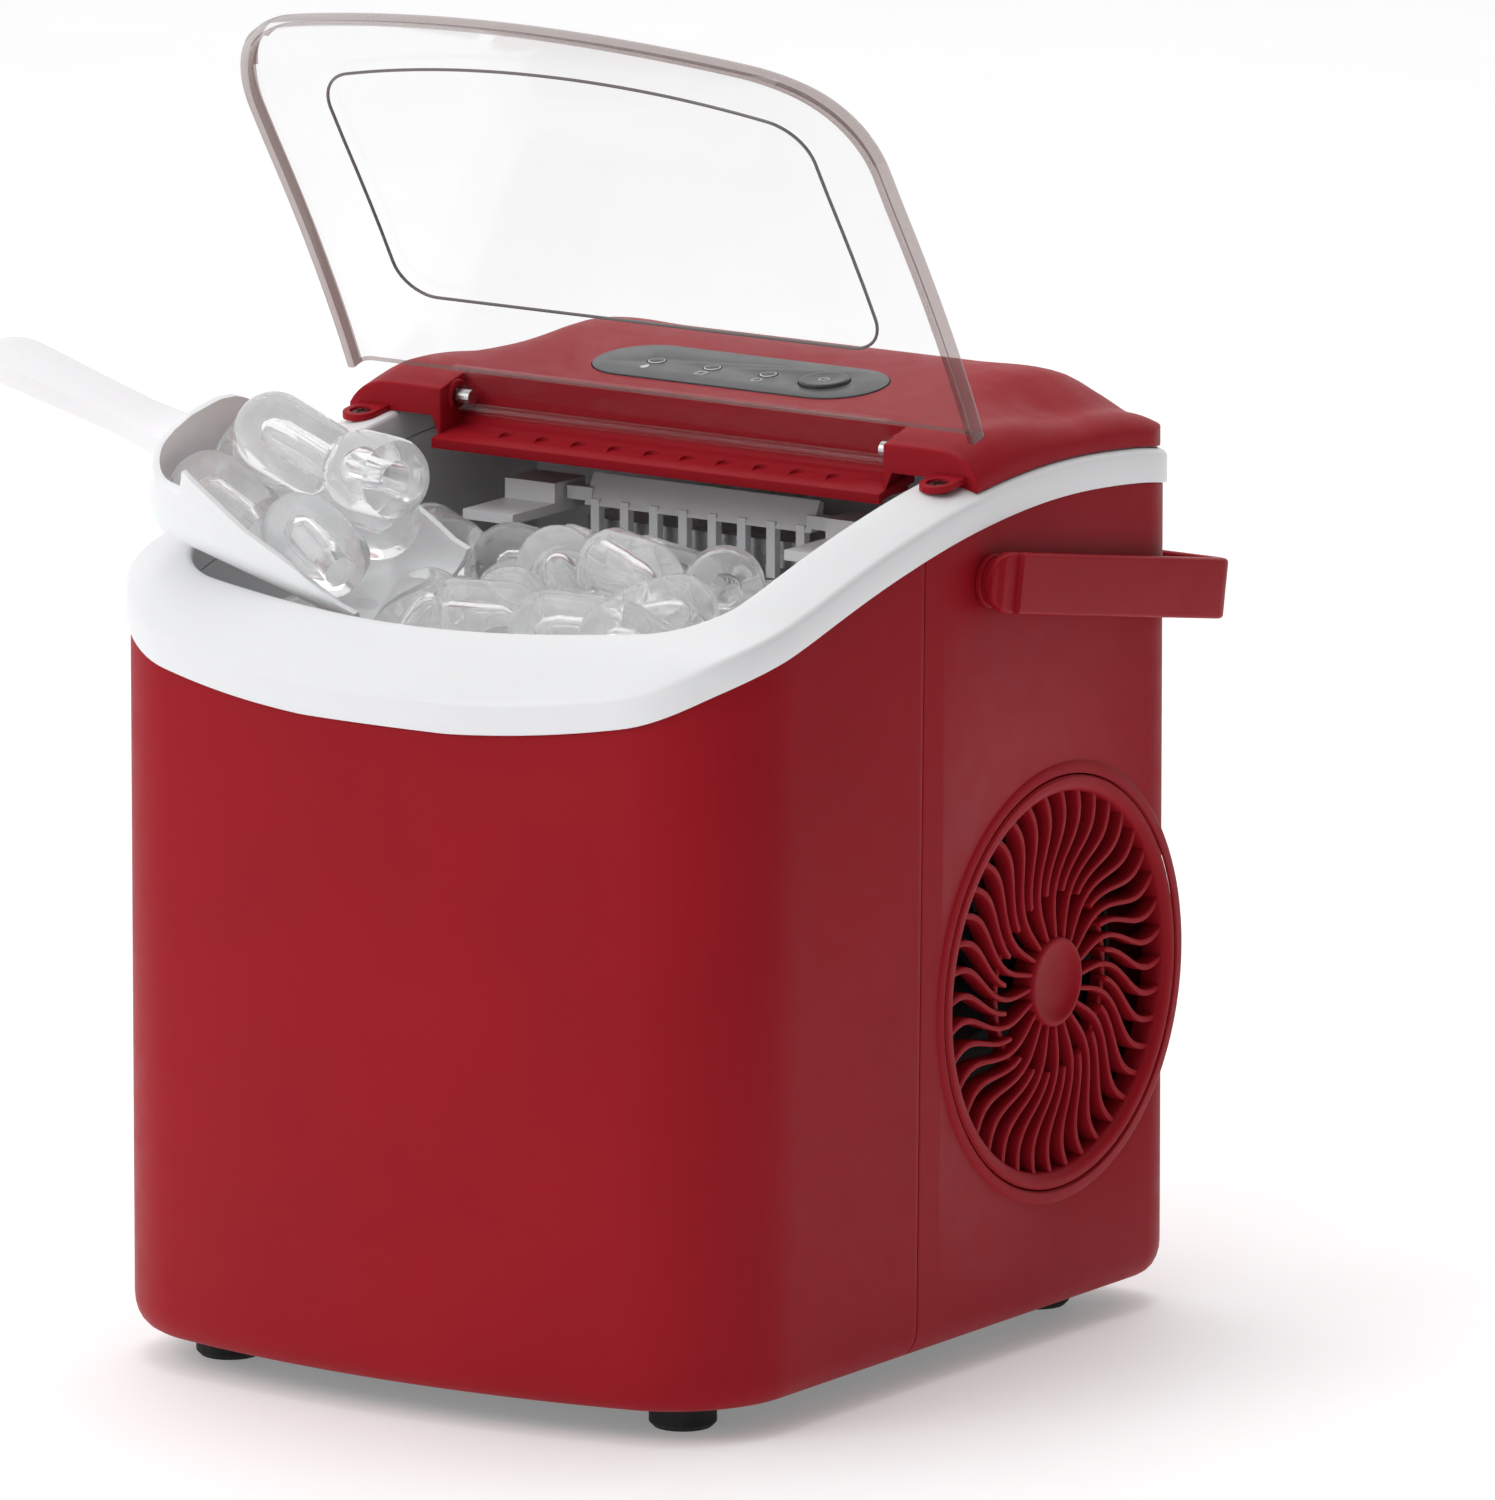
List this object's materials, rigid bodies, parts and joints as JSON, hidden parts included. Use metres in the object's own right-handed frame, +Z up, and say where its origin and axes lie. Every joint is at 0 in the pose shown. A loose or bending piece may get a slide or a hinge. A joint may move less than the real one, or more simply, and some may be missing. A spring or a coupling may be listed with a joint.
{
  "type": "ice maker",
  "caption": "Countertop ice maker with a clear hinged lid, lift-out ice basket, scoop, fold-back carry handle and a round fan grille on the side.",
  "frame": {"origin": "middle of the flat pad under the base tray; the four feet reach 9 mm below it", "axes": "+Z up, +X towards the side with the fan grille, -Y towards the front with the ice bin"},
  "size_m": [0.2942, 0.2753, 0.4042],
  "materials": {
    "red_plastic": "satin red moulded plastic with a fine texture",
    "white_plastic": "satin white moulded plastic",
    "clear_plastic": "clear polished plastic with a smoky edge",
    "dark_panel": "dark grey satin overlay",
    "black_plastic": "matt black plastic",
    "black_rubber": "soft matt rubber",
    "grey_plastic": "matt light grey plastic",
    "lamp_lens": "frosted white lens",
    "black_enamel": "satin black enamel on steel",
    "bright_metal": "plated and brushed metal",
    "copper": "drawn copper tube",
    "board_green": "green solder mask"
  },
  "bodies": {
    "housing": {"front_shell": "red_plastic", "rear_shell": "red_plastic", "top_cover": "red_plastic", "handle_pivot_left": "red_plastic", "handle_pivot_right": "red_plastic", "side_grille": "red_plastic", "rim_frame": "white_plastic", "bin_tub": "white_plastic", "shovel_guide_left": "white_plastic", "shovel_guide_right": "white_plastic", "water_hose": "clear_plastic", "control_panel": "dark_panel", "base_tray": "black_plastic", "fan_shroud": "black_plastic", "tray_motor": "black_plastic", "water_pump": "black_plastic", "cord_gland": "black_plastic", "foot_front_left": "black_rubber", "foot_front_right": "black_rubber", "foot_rear_left": "black_rubber", "foot_rear_right": "black_rubber", "compressor_grommet_1": "black_rubber", "compressor_grommet_2": "black_rubber", "compressor_grommet_3": "black_rubber", "ice_chute": "grey_plastic", "lamp_add_water": "lamp_lens", "lamp_ice_full": "lamp_lens", "lamp_power": "lamp_lens", "compressor": "black_enamel", "cover_screw_left": "bright_metal", "cover_screw_right": "bright_metal", "button_switch": "bright_metal", "fan_motor": "bright_metal", "condenser": "bright_metal", "evaporator": "bright_metal", "suction_pipe": "copper", "discharge_pipe": "copper", "control_board": "board_green"},
    "lid": {"lid": "clear_plastic", "lid_hinge_pin_left": "bright_metal", "lid_hinge_pin_right": "bright_metal"},
    "carry_handle": {"carry_handle": "red_plastic"},
    "power_button": {"power_button": "dark_panel"},
    "fan": {"fan": "black_plastic"},
    "water_tray": {"water_tray": "grey_plastic", "tray_shaft": "bright_metal"},
    "ice_shovel": {"ice_shovel": "white_plastic"},
    "ice_basket": {"ice_basket": "white_plastic"},
    "scoop": {"scoop": "white_plastic"},
    "drain_plug": {"drain_plug": "black_rubber"}
  },
  "joints": [
    {"name": "lid_hinge", "type": "hinge", "parent": "housing", "child": "lid", "pos_m": [0, 0.025, 0.2615], "axis": [-1, 0, 0], "range_deg": [-72, 0]},
    {"name": "carry_handle_pivot", "type": "hinge", "parent": "housing", "child": "carry_handle", "pos_m": [0, 0.022, 0.227], "axis": [1, 0, 0], "range_deg": [0, 100]},
    {"name": "power_button_press", "type": "slide", "parent": "housing", "child": "power_button", "axis": [0, 0.1063, -0.9943], "range_m": [0, 0.0012], "stiffness_N_per_m": 800},
    {"name": "fan_spin", "type": "hinge", "parent": "housing", "child": "fan", "pos_m": [0.091, 0.0604, 0.0997], "axis": [1, 0, 0], "continuous": true},
    {"name": "water_tray_tilt", "type": "hinge", "parent": "housing", "child": "water_tray", "pos_m": [0, 0.075, 0.208], "axis": [1, 0, 0], "range_deg": [0, 35]},
    {"name": "ice_shovel_push", "type": "slide", "parent": "housing", "child": "ice_shovel", "axis": [0, -1, 0], "range_m": [0, 0.022]},
    {"name": "basket_lift", "type": "slide", "parent": "housing", "child": "ice_basket", "axis": [0, 0, 1], "range_m": [0, 0.06]},
    {"name": "scoop_slide_out", "type": "slide", "parent": "ice_basket", "child": "scoop", "axis": [-0.9613, 0, 0.2756], "range_m": [0, 0.15]},
    {"name": "drain_plug_turn", "type": "hinge", "parent": "housing", "child": "drain_plug", "pos_m": [-0.058, -0.07, 0], "axis": [0, 0, 1], "range_deg": [0, 90]}
  ],
  "couplings": [
    {"joint": "ice_shovel_push", "follows": "water_tray_tilt", "m_per_rad": 0.0352},
    {"joint": "scoop_slide_out", "follows": "lid_hinge", "m_per_rad": -0.11777}
  ]
}
